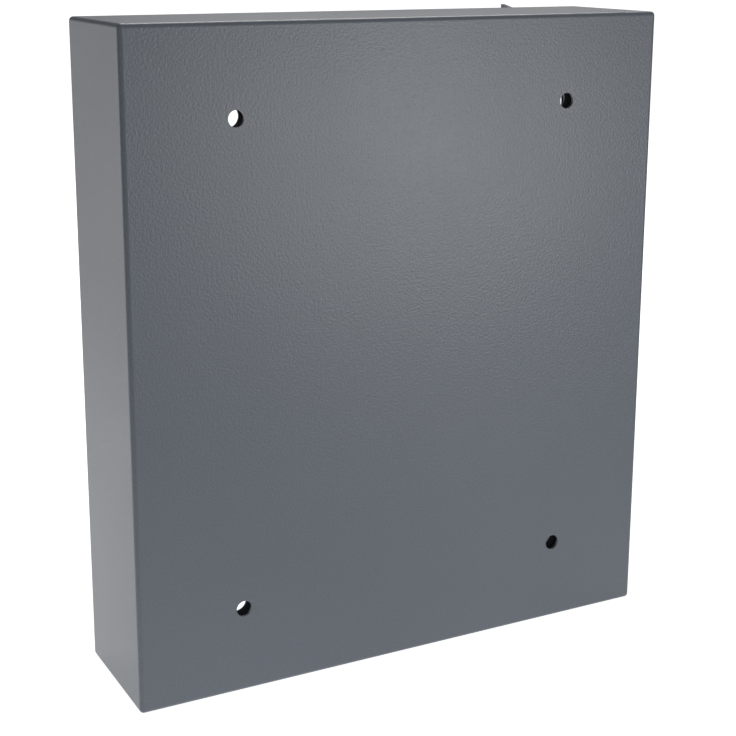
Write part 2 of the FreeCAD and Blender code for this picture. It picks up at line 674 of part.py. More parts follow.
def keypad_button(x, z):
    """One button cap with its retaining skirt behind the case."""
    cap = block(
        (x - BUTTON_X, x + BUTTON_X),
        (KEYPAD_FRONT - BUTTON_RISE, BUTTON_BACK),
        (z - BUTTON_H, z + BUTTON_H),
        3.0,
    )
    cap = soften(cap, 0.8, lambda p: abs(p.y - KEYPAD_FRONT + BUTTON_RISE) < 0.01)
    skirt = block(
        (x - BUTTON_X - SKIRT, x + BUTTON_X + SKIRT),
        (KEYPAD_FRONT + SHELL_T + 0.1, BUTTON_BACK),
        (z - BUTTON_H - SKIRT, z + BUTTON_H + SKIRT),
        3.0,
    )
    return fuse([cap, skirt])


def button_membrane():
    """The rubber sheet with a dome under each button."""
    top = KEYPAD_FRONT + 8.0
    sheet = block((LOCK_X - 45, LOCK_X + 45), (top, top + 1.5), (KEYPAD_Z - 52, KEYPAD_Z + 40), 4.0)
    domes = [cone(4.0, 6.0, (x, top - 2.6, z), (x, top + 0.5, z)) for _, x, z in BUTTONS]
    clear = screw_holes(KEYPAD_STUDS, (top - 3, top + 3), BOSS_R + 0.1)
    return cut(fuse([sheet] + domes), clear)


def keypad_board():
    """The circuit board behind the membrane."""
    y = (BOARD_FRONT, BOARD_BACK)
    board = block((LOCK_X - 46, LOCK_X + 46), y, (KEYPAD_Z - 66, KEYPAD_Z + 66), 6.0)
    return cut(board, screw_holes(KEYPAD_STUDS, (BOARD_FRONT - 1, BOARD_BACK + 1), BOSS_R + 0.1))


def led_lenses():
    """Three lamps that stand in the case's window."""
    lamps = []
    for x in LED_X:
        body = across(x, LED_Z, (KEYPAD_FRONT - LAMP_RISE, BOARD_FRONT), LAMP_R)
        lamps.append(soften(body, 0.8, lambda p: abs(p.y - KEYPAD_FRONT + LAMP_RISE) < 0.01))
    return lamps


def keypad_screws():
    """Long screws from inside the leaf into the case's bosses."""
    screws = []
    for x, z in KEYPAD_STUDS:
        shank = across(x, z, (KEYPAD_FRONT + 3, DOOR_BACK), STUD_R)
        head = across(x, z, (DOOR_BACK, DOOR_BACK + HEAD_T), HEAD_R)
        screws.append(shank.fuse(head))
    return screws


def keypad_cable():
    """The lead from the keypad board through the leaf to the control board."""
    return rod(CABLE_R, (LOCK_X, BOARD_BACK, KEYPAD_Z), (LOCK_X, BOARD_Y[0], KEYPAD_Z))


# ---- inside the lock cover ----------------------------------------------------------------
BOARD_Y = (-91.0, -89.4)
TRAY_X, TRAY_Z = (27.0, 93.0), (60.0, 122.0)
TRAY_Y = (-77.5, COVER_BACK - COVER_SHEET)
TRAY_WALL = 1.5
CELL_R, CELL_LENGTH, CELL_COUNT = 7.1, 50.5, 4
CELL_GAP = 0.3
CAP_R, CAP_H = 2.7, 1.2


def control_board():
    """The lock's circuit board, with its relay, socket and capacitors, on four posts."""
    board = block((28, 108), BOARD_Y, (62, 116), 2.0)
    back = BOARD_Y[1]
    parts = [
        block((34, 50), (back, back + 8), (68, 78)),
        block((58, 68), (back, back + 5), (66, 74)),
        block((84, 100), (back, back + 3), (88, 104)),
        across(98, 74, (back, back + 9), 4.0),
        across(88, 74, (back, back + 7), 3.0),
    ]
    posts = [across(x, z, (DOOR_BACK, BOARD_Y[0]), 2.5) for x in (32, 104) for z in (66, 112)]
    return fuse([board] + parts + posts)


def battery_tray():
    """A moulded tray, open towards the inside of the safe, for four round cells."""
    tray = block(TRAY_X, TRAY_Y, TRAY_Z, 2.0)
    hollow = block(
        (TRAY_X[0] + TRAY_WALL, TRAY_X[1] - TRAY_WALL),
        (TRAY_Y[0] + TRAY_WALL, TRAY_Y[1] + 1),
        (TRAY_Z[0] + TRAY_WALL, TRAY_Z[1] - TRAY_WALL),
        1.0,
    )
    return tray.cut(hollow)


def batteries():
    """Four AA cells, side by side and head to tail."""
    middle_x, middle_z = sum(TRAY_X) / 2, sum(TRAY_Z) / 2
    y = TRAY_Y[0] + TRAY_WALL + 0.1 + CELL_R
    cells = []
    for i in range(CELL_COUNT):
        x = middle_x + (i - (CELL_COUNT - 1) / 2) * (2 * CELL_R + CELL_GAP)
        way = 1 if i % 2 else -1
        low, high = middle_z - way * CELL_LENGTH / 2, middle_z + way * (CELL_LENGTH / 2 - CAP_H)
        can = soften(rod(CELL_R, (x, y, low), (x, y, high)), 0.6, lambda p: True)
        cap = rod(CAP_R, (x, y, high), (x, y, high + way * CAP_H))
        cells.append(fuse([can, cap]))
    return cells


SOLENOID_W = 10.0
SOLENOID_SHEET = 1.5
SOLENOID_Z0, SOLENOID_Z1 = KNOB_Z + 36.0, KNOB_Z + 62.0
SOLENOID_BACK = -79.0
COIL_R, PLUNGER_COLLAR_R = 5.9, 5.0
SPRING_OUTER, SPRING_INNER = 4.4, 3.4
PLUNGER_TIP = ARM_Z[1] + 0.5
COLLAR_Z = (PLUNGER_TIP + 8.0, PLUNGER_TIP + 9.5)
LIFT_PIN_R = 1.5
LIFT_PIN_Z = KEYLOCK_Z + LEVER_HALF + LIFT_PIN_R + 0.3


def solenoid_frame():
    """The bent steel bracket round the locking coil."""
    x = (PLUNGER_X - SOLENOID_W, PLUNGER_X + SOLENOID_W)
    low, high = SOLENOID_Z0, SOLENOID_Z1
    plates = [
        block(x, (DOOR_BACK, DOOR_BACK + SOLENOID_SHEET), (low, high)),
        block(x, (DOOR_BACK, SOLENOID_BACK), (low, low + SOLENOID_SHEET)),
        block(x, (DOOR_BACK, SOLENOID_BACK), (high - SOLENOID_SHEET, high)),
    ]
    bore = rod(PLUNGER_R + PIN_PLAY, (PLUNGER_X, PLUNGER_Y, low - 1), (PLUNGER_X, PLUNGER_Y, high + 1))
    return fuse(plates).cut(bore)


def solenoid_coil():
    """The wound coil."""
    low, high = SOLENOID_Z0 + SOLENOID_SHEET, SOLENOID_Z1 - SOLENOID_SHEET
    return ring(COIL_R, PLUNGER_R + PIN_PLAY, (PLUNGER_X, PLUNGER_Y, low), (PLUNGER_X, PLUNGER_Y, high))


def solenoid_plunger():
    """The plunger that drops into the bar's notch, with a spring collar and a lift pin on top."""
    top = LIFT_PIN_Z + LIFT_PIN_R + 1.2
    pin = rod(PLUNGER_R, (PLUNGER_X, PLUNGER_Y, PLUNGER_TIP), (PLUNGER_X, PLUNGER_Y, top))
    collar = rod(PLUNGER_COLLAR_R, (PLUNGER_X, PLUNGER_Y, COLLAR_Z[0]), (PLUNGER_X, PLUNGER_Y, COLLAR_Z[1]))
    lift = rod(LIFT_PIN_R, (PLUNGER_X, PLUNGER_Y, LIFT_PIN_Z), (PLUNGER_X, LEVER_Y[1] + 1, LIFT_PIN_Z))
    return fuse([pin, collar, lift])


def solenoid_spring():
    """The light spring between the collar and the bracket, drawn as its turns' envelope."""
    low, high = COLLAR_Z[1] + 0.1, SOLENOID_Z0 - 0.1
    return ring(SPRING_OUTER, SPRING_INNER, (PLUNGER_X, PLUNGER_Y, low), (PLUNGER_X, PLUNGER_Y, high))


# ---- the lock cover -----------------------------------------------------------------------
RESET_AT = (60.0, -110.0)
RESET_R, RESET_RISE, RESET_DEPTH = 3.5, 1.2, 5.0
RESET_SWITCH_HALF = 6.0
LID_PLAY, LID_RAIL_T, LID_RAIL_H = 0.3, 2.0, 3.0
LID_X, LID_Z = (30.0, 90.0), (63.0, 119.0)
LID_TRAVEL = 58.0
RAIL_X = (LID_X[0] - 1.0, LID_X[1] + LID_TRAVEL + 1.0)


def lock_cover():
    """The folded cover over the lock, with a foot on three sides and the battery window."""
    x0, x1 = COVER_X
    box = block((x0, x1), (DOOR_BACK, COVER_BACK), (-COVER_Z, COVER_Z))
    box = soften(box, 2.0, lambda p: abs(p.x - x0) < 0.01 or (abs(p.y - COVER_BACK) < 0.01 and p.x < x1 - 1))
    hollow = block(
        (x0 + COVER_SHEET, x1 + 1),
        (DOOR_BACK - 1, COVER_BACK - COVER_SHEET),
        (-COVER_Z + COVER_SHEET, COVER_Z - COVER_SHEET),
    )
    feet = block(
        (x0 - COVER_FOOT, x1),
        (DOOR_BACK, DOOR_BACK + COVER_SHEET),
        (-COVER_Z - COVER_FOOT, COVER_Z + COVER_FOOT),
        5.0,
    )
    inner_z = COVER_Z - COVER_SHEET
    inside = block((x0 + COVER_SHEET, x1 + 1), (DOOR_BACK - 1, DOOR_BACK + 6), (-inner_z, inner_z))
    shell = fuse([box.cut(hollow), feet.cut(inside)])
    window = block(
        (LID_X[0] + 2, LID_X[1] - 2),
        (COVER_BACK - 3, COVER_BACK + 1),
        (LID_Z[0] + 2, LID_Z[1] - 2),
        2.0,
    )
    reset = across(*RESET_AT, (COVER_BACK - 3, COVER_BACK + 1), RESET_R + 0.2)
    screws = screw_holes(COVER_SCREWS, (DOOR_BACK - 1, DOOR_BACK + 3), SCREW_R)
    rails = []
    rail_top = COVER_BACK + LID_RAIL_H
    for edge, way in ((LID_Z[0] - LID_PLAY, -1), (LID_Z[1] + LID_PLAY, 1)):
        upright = sorted((edge, edge + LID_RAIL_T * way))
        lip = sorted((edge - 1.8 * way, edge + LID_RAIL_T * way))
        rails.append(block(RAIL_X, (COVER_BACK - 0.5, rail_top), upright))
        rails.append(block(RAIL_X, (rail_top - 1, rail_top), lip))
    return fuse([cut(shell, [window, reset] + screws)] + rails)


def cover_screws():
    """Screws through the cover's feet, driven from inside the safe."""
    screws = []
    for x, z in COVER_SCREWS:
        screw = pan_screw(x, z, 0, COVER_SHEET + COVER_BITE)
        screw.rotate(Vector(x, 0, z), Vector(0, 0, 1), 180)
        screw.translate(Vector(0, DOOR_BACK + COVER_SHEET, 0))
        screws.append(screw)
    return screws


def battery_lid():
    """The lid over the batteries, with a thumb ridge. It slides between the cover's rails."""
    plate = block(LID_X, (COVER_BACK + 0.1, COVER_BACK + 1.7), LID_Z, 3.0)
    middle_z = sum(LID_Z) / 2
    ridges = [
        block((x, x + 1.2), (COVER_BACK + 1.5, COVER_BACK + 2.5), (middle_z - 10, middle_z + 10))
        for x in (38, 41, 44)
    ]
    return fuse([plate] + ridges)


def reset_button():
    """The button inside the door that sets a new code."""
    x, z = RESET_AT
    foot, top = COVER_BACK - RESET_DEPTH, COVER_BACK + RESET_RISE
    cap = across(x, z, (foot, top), RESET_R)
    cap = soften(cap, 0.6, lambda p: abs(p.y - top) < 0.01)
    return cap.fuse(across(x, z, (foot, COVER_BACK - COVER_SHEET - 0.1), RESET_R + 1.5))


def reset_switch():
    """The small switch that the reset button presses."""
    x, z = RESET_AT
    half = RESET_SWITCH_HALF
    base = block((x - half, x + half), (DOOR_BACK, COVER_BACK - 9), (z - half, z + half))
    return base.fuse(across(x, z, (COVER_BACK - 10, COVER_BACK - 6.6), 2.0))


# ---- write the nodes ----------------------------------------------------------------------
BODY_NODES = {
    "body_shell": lambda: [body_shell()],
    "hinge_brackets": hinge_brackets,
    "hinge_pins": hinge_pins,
    "hinge_washers": hinge_washers,
    "strike_bar": lambda: [strike_bar()],
    "back_liner": lambda: [back_liner()],
    "liner_bosses": liner_bosses,
    "shelf": lambda: [shelf()],
    "pan_screws": pan_screws,
    "hook_rail": lambda: [hook_rail()],
    "key_hooks": key_hooks,
    "floor_mat": lambda: [floor_mat()],
}
DOOR_NODES = {
    "door_plate": lambda: [door_plate()],
    "hinge_knuckles": hinge_knuckles,
    "hinge_side_dog": lambda: [hinge_side_dog()],
    "bolt_guide": lambda: [bolt_guide()],
    "bolt_bar": lambda: [bolt_bar()],
    "bolt_arm": lambda: [bolt_arm()],
    "locking_bolts": locking_bolts,
    "bar_guide_studs": bar_guide_studs,
    "drive_cam": lambda: [drive_cam()],
    "knob_rosette": lambda: [knob_rosette()],
    "knob": lambda: [knob()],
    "lock_escutcheon": lambda: [lock_escutcheon()],
    "key_cylinder": lambda: [key_cylinder()],
    "cylinder_nut": lambda: [cylinder_nut()],
    "key_plug": lambda: [key_plug()],
    "override_lever": lambda: [override_lever()],
    "keyhole_cover": lambda: [keyhole_cover()],
    "cover_rivet": lambda: [cover_rivet()],
    "keypad_housing": lambda: [keypad_housing()],
    "button_membrane": lambda: [button_membrane()],
    "keypad_board": lambda: [keypad_board()],
    "led_lenses": led_lenses,
    "keypad_screws": keypad_screws,
    "keypad_cable": lambda: [keypad_cable()],
    "control_board": lambda: [control_board()],
    "battery_tray": lambda: [battery_tray()],
    "batteries": batteries,
    "solenoid_frame": lambda: [solenoid_frame()],
    "solenoid_coil": lambda: [solenoid_coil()],
    "solenoid_plunger": lambda: [solenoid_plunger()],
    "solenoid_spring": lambda: [solenoid_spring()],
    "lock_cover": lambda: [lock_cover()],
    "cover_screws": cover_screws,
    "battery_lid": lambda: [battery_lid()],
    "reset_button": lambda: [reset_button()],
    "reset_switch": lambda: [reset_switch()],
}

os.makedirs("parts", exist_ok=True)
for node, make in BODY_NODES.items():
    write(node, make())
for node, make in DOOR_NODES.items():
    write_on_door(node, make())
for name, button_x, button_z in BUTTONS:
    write_on_door(f"button_{name}", [keypad_button(button_x, button_z)])
print("bolt travel", round(BOLT_TRAVEL, 3), "mm")
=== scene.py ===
import json
import math

import bpy
from mathutils import Matrix, Vector


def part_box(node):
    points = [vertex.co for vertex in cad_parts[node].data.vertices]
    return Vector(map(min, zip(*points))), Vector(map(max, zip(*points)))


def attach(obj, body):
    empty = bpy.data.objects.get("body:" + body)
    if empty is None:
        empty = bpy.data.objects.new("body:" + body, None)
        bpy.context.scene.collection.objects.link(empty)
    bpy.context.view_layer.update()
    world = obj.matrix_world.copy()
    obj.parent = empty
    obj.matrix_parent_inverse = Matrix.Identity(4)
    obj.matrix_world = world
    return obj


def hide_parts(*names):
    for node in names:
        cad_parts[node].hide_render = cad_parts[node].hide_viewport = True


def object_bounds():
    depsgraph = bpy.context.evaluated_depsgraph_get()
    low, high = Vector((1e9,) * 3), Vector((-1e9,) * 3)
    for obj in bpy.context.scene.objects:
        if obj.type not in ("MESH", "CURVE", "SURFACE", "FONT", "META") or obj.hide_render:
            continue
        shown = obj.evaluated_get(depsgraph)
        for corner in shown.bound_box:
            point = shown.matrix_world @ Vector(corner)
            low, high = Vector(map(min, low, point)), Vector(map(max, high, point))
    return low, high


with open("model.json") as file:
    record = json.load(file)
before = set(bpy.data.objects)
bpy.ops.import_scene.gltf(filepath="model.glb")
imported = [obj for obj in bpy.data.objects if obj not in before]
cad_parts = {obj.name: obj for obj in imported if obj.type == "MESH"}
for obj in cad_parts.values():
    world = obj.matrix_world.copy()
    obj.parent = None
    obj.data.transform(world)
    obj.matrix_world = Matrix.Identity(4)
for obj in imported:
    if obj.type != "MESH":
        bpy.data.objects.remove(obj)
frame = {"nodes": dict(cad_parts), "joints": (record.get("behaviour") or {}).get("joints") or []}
cad_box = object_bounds()
bpy.ops.object.select_all(action="DESELECT")

# ---- camera ----
# It stands behind the safe, to one side and above, as the safe is shown for its wall holes.
AIM = Vector((-0.0073, -0.0736, 0.0229))
AZIMUTH, ELEVATION, ROLL = math.radians(152.1), math.radians(13.3), math.radians(0.22)
DISTANCE = 1.09
LENS_MM, SHIFT_Y = 73.3, -0.1

away = Vector((
    math.sin(AZIMUTH) * math.cos(ELEVATION),
    -math.cos(AZIMUTH) * math.cos(ELEVATION),
    math.sin(ELEVATION),
))
bpy.ops.object.camera_add(location=AIM + away * DISTANCE)
camera = bpy.context.object
camera.rotation_mode = "QUATERNION"
level_view = (-away).to_track_quat("-Z", "Y")
camera.rotation_quaternion = level_view @ Matrix.Rotation(ROLL, 4, "Z").to_quaternion()
camera.data.lens = LENS_MM
camera.data.shift_y = SHIFT_Y
bpy.context.scene.camera = camera

# ---- floor and light ----
# A plain pale floor, brightest beside the body, and a white surround that lights it less from the
# door's side. One soft light lays a sheen on the upper back, one fills the side and one the front.
FLOOR_Z = cad_box[0].z
FLOOR_SIZE, FLOOR_GAP = 60, 0.0004
FLOOR_SEEN, SURROUND_SEEN = 0.9, 1.05       # how bright each looks to the camera itself
BRIGHTEST_SPOT = (0.3, -0.25, 0)
DOOR_SIDE = (0, -1, 0)
WHITE = (1, 1, 1, 1)


def join(tree, value, socket):
    """Sets a socket, or links another socket into it."""
    if isinstance(value, bpy.types.NodeSocket):
        tree.links.new(value, socket)
    else:
        socket.default_value = value


def add(tree, kind, inputs=(), **settings):
    """Adds a shader node, with its settings and its inputs."""
    node = tree.nodes.new("ShaderNode" + kind)
    for name, value in settings.items():
        setattr(node, name, value)
    for name, value in dict(inputs).items():
        join(tree, value, node.inputs[name])
    return node


def start_finish(name, values):
    """A material with one Principled shader, whose plain values are set on its own sockets."""
    finish = bpy.data.materials.new(name)
    finish.use_nodes = True
    shader = finish.node_tree.nodes["Principled BSDF"]
    for socket, value in values.items():
        shader.inputs[socket].default_value = value
    return finish, finish.node_tree, shader


def object_place(tree):
    return add(tree, "TexCoord").outputs["Object"]


def mixed(tree, share, first, second, **settings):
    """One colour passing into another, each given plain or as a socket."""
    first, second = (
        tone if isinstance(tone, bpy.types.NodeSocket) else (*tone, 1) for tone in (first, second)
    )
    inputs = {"Fac": share, "Color1": first, "Color2": second}
    return add(tree, "MixRGB", inputs, **settings).outputs["Color"]


bpy.ops.mesh.primitive_plane_add(size=FLOOR_SIZE, location=(0, 0, FLOOR_Z - FLOOR_GAP))
floor = bpy.context.object
floor.name = "floor"
paper, tree, shader = start_finish("pale_floor", {"Roughness": 0.9, "Emission Color": WHITE})
# The floor glows, as painted light that brightens the foot of the body, brightest beside it.
# To the camera it glows evenly.
offset = add(tree, "VectorMath", {0: object_place(tree), 1: BRIGHTEST_SPOT}, operation="SUBTRACT")
reach = add(tree, "VectorMath", {0: offset.outputs[0]}, operation="LENGTH")
glow = add(tree, "MapRange", {"Value": reach.outputs["Value"], "From Min": 0.3, "From Max": 1.25,
                              "To Min": 1.1, "To Max": 0.08})
shown = add(tree, "MapRange", {"Value": add(tree, "LightPath").outputs["Is Camera Ray"],
                               "To Min": glow.outputs["Result"], "To Max": FLOOR_SEEN})
tree.links.new(shown.outputs["Result"], shader.inputs["Emission Strength"])
mottle = add(tree, "TexNoise", {"Vector": object_place(tree), "Scale": 3.0, "Detail": 3.0})
tone = mixed(tree, mottle.outputs["Fac"], (0.5, 0.5, 0.5), (0.55, 0.55, 0.55))
tree.links.new(tone, shader.inputs["Base Color"])
floor.data.materials.append(paper)

surround = bpy.data.worlds.new("surround")
surround.use_nodes = True
tree = surround.node_tree
facing = add(tree, "VectorMath", {0: add(tree, "TexCoord").outputs["Generated"], 1: DOOR_SIDE},
             operation="DOT_PRODUCT")
level = add(tree, "MapRange", {"Value": facing.outputs["Value"], "From Min": -0.2, "From Max": 0.9,
                               "To Min": 0.5, "To Max": 0.16})
seen = add(tree, "MapRange", {"Value": add(tree, "LightPath").outputs["Is Camera Ray"],
                              "To Min": level.outputs["Result"], "To Max": SURROUND_SEEN})
tree.links.new(seen.outputs["Result"], tree.nodes["Background"].inputs["Strength"])
tree.nodes["Background"].inputs["Color"].default_value = WHITE
bpy.context.scene.world = surround
bpy.context.scene.view_settings.view_transform = "Standard"

# Each light's name, its place, the point it faces, its size in metres and its power in watts.
for name, place, aim, size, power in (
    ("sheen_light", (-0.76, 1.38, -0.02), (-0.015, 0, 0.144), 0.4, 8),
    ("side_light", (0.85, -1.05, 0.0), (0.2, -0.05, -0.1), 0.8, 2.4),
    ("front_light", (-1.0, -1.6, 2.0), (0, -0.1, 0), 1.6, 38),
):
    bpy.ops.object.light_add(type="AREA", location=place)
    lamp = bpy.context.object
    lamp.name = name
    lamp.data.size = size
    lamp.data.energy = power
    lamp.rotation_euler = (Vector(aim) - Vector(place)).to_track_quat("-Z", "Y").to_euler()

# ---- the body ----
# Folded and welded sheet steel, powder coated in a dark blue grey. The coating has a fine
# orange peel and a faint drift of tone, and is alike on every coated piece.


def start_group(name, inputs, outputs):
    """A shader node group with named inputs, each with its usual value, and named outputs."""
    group = bpy.data.node_groups.new(name, "ShaderNodeTree")
    for label, kind, value in inputs:
        kind = "NodeSocket" + kind
        socket = group.interface.new_socket(name=label, in_out="INPUT", socket_type=kind)
        if value is not None:
            socket.default_value = value
    for label, kind in outputs:
        kind = "NodeSocket" + kind
        group.interface.new_socket(name=label, in_out="OUTPUT", socket_type=kind)
    given = group.nodes.new("NodeGroupInput").outputs
    return group, given, group.nodes.new("NodeGroupOutput").inputs


def put_out(group, result, sources):
    """Links what a group works out to its named outputs."""
    for name, source in sources.items():
        group.links.new(source, result[name])


def use_group(tree, group, inputs):
    node = tree.nodes.new("ShaderNodeGroup")
    node.node_tree = group
    for name, value in inputs.items():
        join(tree, value, node.inputs[name])
    return node.outputs


def scaled(tree, value, factor, offset=0.0):
    """value x factor + offset."""
    return add(tree, "Math", {0: value, 1: factor, 2: offset}, operation="MULTIPLY_ADD").outputs[0]


orange_peel, given, result = start_group(
    "orange_peel",
    [("Place", "Vector", None), ("Cell", "Float", 420.0), ("Depth", "Float", 0.3)],
    [("Normal", "Vector"), ("Cloud", "Float"), ("Fleck", "Float")],
)
peel = add(orange_peel, "TexNoise", {"Vector": given["Place"], "Scale": given["Cell"], "Detail": 2.5,
                                     "Roughness": 0.55})
bump = add(orange_peel, "Bump", {"Height": peel.outputs["Fac"], "Strength": given["Depth"],
                                 "Distance": 0.0006})
cloud = add(orange_peel, "TexNoise", {"Vector": given["Place"], "Scale": 5.0, "Detail": 3.0})
fleck = add(orange_peel, "TexNoise", {"Vector": given["Place"], "Scale": 900.0, "Detail": 1.0})
put_out(orange_peel, result, {
    "Normal": bump.outputs["Normal"],
    "Cloud": cloud.outputs["Fac"],
    "Fleck": fleck.outputs["Fac"],
})


def powder_coat(name, dark, light, cell=600.0, depth=0.34):
    """Coated steel in a colour that drifts slightly between two tones."""
    finish, tree, shader = start_finish(name, {"Specular IOR Level": 0.5})
    out = use_group(tree, orange_peel, {"Place": object_place(tree), "Cell": cell, "Depth": depth})
    drift = mixed(tree, out["Cloud"], dark, light)
    grain = scaled(tree, out["Fleck"], 0.5, 0.75)
    shade = mixed(tree, 1.0, drift, grain, blend_type="MULTIPLY")
    tree.links.new(shade, shader.inputs["Base Color"])
    tree.links.new(scaled(tree, out["Cloud"], 0.12, 0.32), shader.inputs["Roughness"])
    tree.links.new(out["Normal"], shader.inputs["Normal"])
    return finish


def dress(finish, *nodes):
    """Gives a finish to pieces that keep the shape they were designed with."""
    for node in nodes:
        for place in frame["nodes"][node].material_slots:
            place.material = finish


coated = powder_coat("dark_powder_coat", (0.066, 0.079, 0.098), (0.082, 0.096, 0.116))
dress(coated, "body_shell", "strike_bar", "hinge_brackets", "liner_bosses")

# ---- back liner ----
# A shallow tray of thinner sheet over the inside of the back, coated a shade lighter than the body.
inner_coat = powder_coat(
    "inner_powder_coat", (0.11, 0.122, 0.138), (0.13, 0.142, 0.158), depth=0.3,
)
dress(inner_coat, "back_liner", "shelf", "hook_rail")

# ---- hinge pins, bolts and hooks ----
# Bright turned and drawn steel. The fine rings left by turning catch the light as a soft sheen.
brushed, given, result = start_group(
    "brushed",
    [("Place", "Vector", None), ("Stretch", "Vector", (1, 1, 1)), ("Depth", "Float", 0.2)],
    [("Normal", "Vector"), ("Line", "Float"), ("Smudge", "Float")],
)
along = add(brushed, "VectorMath", {0: given["Place"], 1: given["Stretch"]}, operation="MULTIPLY")
line = add(brushed, "TexNoise", {"Vector": along.outputs[0], "Scale": 1.0, "Detail": 4.0,
                                 "Roughness": 0.7})
rise = add(brushed, "Bump", {"Height": line.outputs["Fac"], "Strength": given["Depth"],
                             "Distance": 0.0002})
smudge = add(brushed, "TexNoise", {"Vector": given["Place"], "Scale": 60.0, "Detail": 4.0})
put_out(brushed, result, {
    "Normal": rise.outputs["Normal"],
    "Line": line.outputs["Fac"],
    "Smudge": smudge.outputs["Fac"],
})


def bare_metal(name, dark, light, rough, stretch=(900, 900, 900), depth=0.15):
    """Uncoated metal with fine tool lines and faint smudges."""
    finish, tree, shader = start_finish(name, {"Metallic": 1.0})
    out = use_group(tree, brushed, {"Place": object_place(tree), "Stretch": stretch,
                                    "Depth": depth})
    tree.links.new(mixed(tree, out["Line"], dark, light), shader.inputs["Base Color"])
    tree.links.new(scaled(tree, out["Smudge"], 0.2, rough - 0.1), shader.inputs["Roughness"])
    tree.links.new(out["Normal"], shader.inputs["Normal"])
    return finish


bright = bare_metal("bright_steel", (0.5, 0.5, 0.5), (0.68, 0.68, 0.67), 0.24, (300, 300, 2500))
dress(bright, "hinge_pins", "locking_bolts", "key_hooks", "solenoid_plunger")

# ---- zinc-plated pieces and screws ----
# Plated steel: a cooler tone than bare steel, with a faint blue and yellow drift in the plating.
zinc = bare_metal("zinc_plate", (0.5, 0.52, 0.55), (0.66, 0.66, 0.62), 0.33, (140, 140, 140), 0.2)
dress(zinc, "pan_screws", "keypad_screws", "cover_screws", "bolt_guide", "bolt_bar", "bolt_arm",
      "bar_guide_studs", "drive_cam", "solenoid_frame", "override_lever", "cylinder_nut")

# ---- plastic pieces ----
# Moulded plastics and rubber, each with the fine spark texture of its mould.


def moulded(name, color, rough, cell=1500.0, depth=0.2):
    """Plastic or rubber with a fine moulded texture."""
    finish, tree, shader = start_finish(name, {"Specular IOR Level": 0.5})
    out = use_group(tree, orange_peel, {"Place": object_place(tree), "Cell": cell, "Depth": depth})
    deep = tuple(c * 0.8 for c in color)
    tree.links.new(mixed(tree, out["Cloud"], deep, color), shader.inputs["Base Color"])
    tree.links.new(scaled(tree, out["Cloud"], 0.15, rough - 0.07), shader.inputs["Roughness"])
    tree.links.new(out["Normal"], shader.inputs["Normal"])
    return finish


nylon = moulded("natural_nylon", (0.72, 0.7, 0.63), 0.42)
dress(nylon, "hinge_washers")

# ---- floor mat ----
# Needle felt cut to the floor of the body, laid loose behind the jamb. Its face is slightly uneven
# and its cut edge is soft. It is cut to 0.994 of its drawn length and 0.97 of its drawn width.
low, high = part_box("floor_mat")
size = high - low
MAT_THICKNESS, MAT_LIFT, MAT_WAVE = 0.0018, 0.0002, 0.00012
bpy.ops.mesh.primitive_grid_add(x_subdivisions=130, y_subdivisions=26, size=1)
mat = bpy.context.object
mat.name = "felt_mat"
mat.data.transform(Matrix.Diagonal((size.x * 0.994, size.y * 0.97, 1, 1)))
mat.data.transform(Matrix.Translation(
    ((low.x + high.x) / 2, (low.y + high.y) / 2, low.z + MAT_LIFT)
))
for vertex in mat.data.vertices:
    spot = vertex.co
    wave = math.sin(spot.x * 210 + 3 * math.sin(spot.y * 90)) * math.sin(spot.y * 160)
    spot.z += MAT_WAVE * (1 + wave)
thicken = mat.modifiers.new("thickness", "SOLIDIFY")
thicken.thickness, thicken.offset = MAT_THICKNESS, 1.0
soften = mat.modifiers.new("soft_edge", "BEVEL")
soften.width, soften.segments, soften.limit_method = 0.0006, 3, "ANGLE"
bpy.ops.object.modifier_apply(modifier="thickness")
bpy.ops.object.modifier_apply(modifier="soft_edge")
bpy.ops.object.shade_smooth_by_angle(angle=math.radians(50))
felt, tree, shader = start_finish("needle_felt", {"Roughness": 0.95, "Sheen Weight": 0.35})
spot = object_place(tree)
fibre = add(tree, "TexNoise", {"Vector": spot, "Scale": 1300.0, "Detail": 5.0, "Distortion": 1.5})
tuft = add(tree, "TexNoise", {"Vector": spot, "Scale": 120.0, "Detail": 4.0})
both = add(tree, "Math", {0: fibre.outputs["Fac"], 1: tuft.outputs["Fac"]}, operation="MULTIPLY")
tint = mixed(tree, both.outputs[0], (0.018, 0.019, 0.022), (0.13, 0.134, 0.142))
nap = add(tree, "Bump", {"Height": both.outputs[0], "Strength": 0.8, "Distance": 0.0008})
tree.links.new(tint, shader.inputs["Base Color"])
tree.links.new(nap.outputs["Normal"], shader.inputs["Normal"])
mat.data.materials.append(felt)
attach(mat, "case")
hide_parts("floor_mat")
bpy.ops.object.select_all(action="DESELECT")

# ---- the door leaf ----
# A thick plate coated like the body. It stands open at rest, so its own pieces are shaped as if the
# door were shut and then swung by the same angle about the hinge.
dress(coated, "door_plate", "hinge_knuckles", "hinge_side_dog")

hinge = next(joint for joint in frame["joints"] if joint["name"] == "door_hinge")
pivot = Matrix.Translation(Vector(hinge["pos_m"]))
swing = pivot @ Matrix.Rotation(-math.radians(hinge["range_deg"][1]), 4, "Z") @ pivot.inverted()
unswing = swing.inverted()


def shut_box(node):
    """Lowest and highest corner of a piece of the door, as it stands when the door is shut."""
    points = [unswing @ v.co for v in frame["nodes"][node].data.vertices]
    return (
        Vector([min(p[i] for p in points) for i in range(3)]),
        Vector([max(p[i] for p in points) for i in range(3)]),
    )


def fit_on_door(piece, name, body, slot, *replaced):
    """Applies a new piece's place, swings it open with the door, and names what it rides on."""
    bpy.ops.object.select_all(action="DESELECT")
    piece.name = name
    piece.select_set(True)
    bpy.context.view_layer.objects.active = piece
    bpy.ops.object.transform_apply(location=True, rotation=True, scale=True)
    piece.data.transform(swing)
    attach(piece, body)
    if replaced:
        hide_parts(*replaced)
    piece.select_set(False)


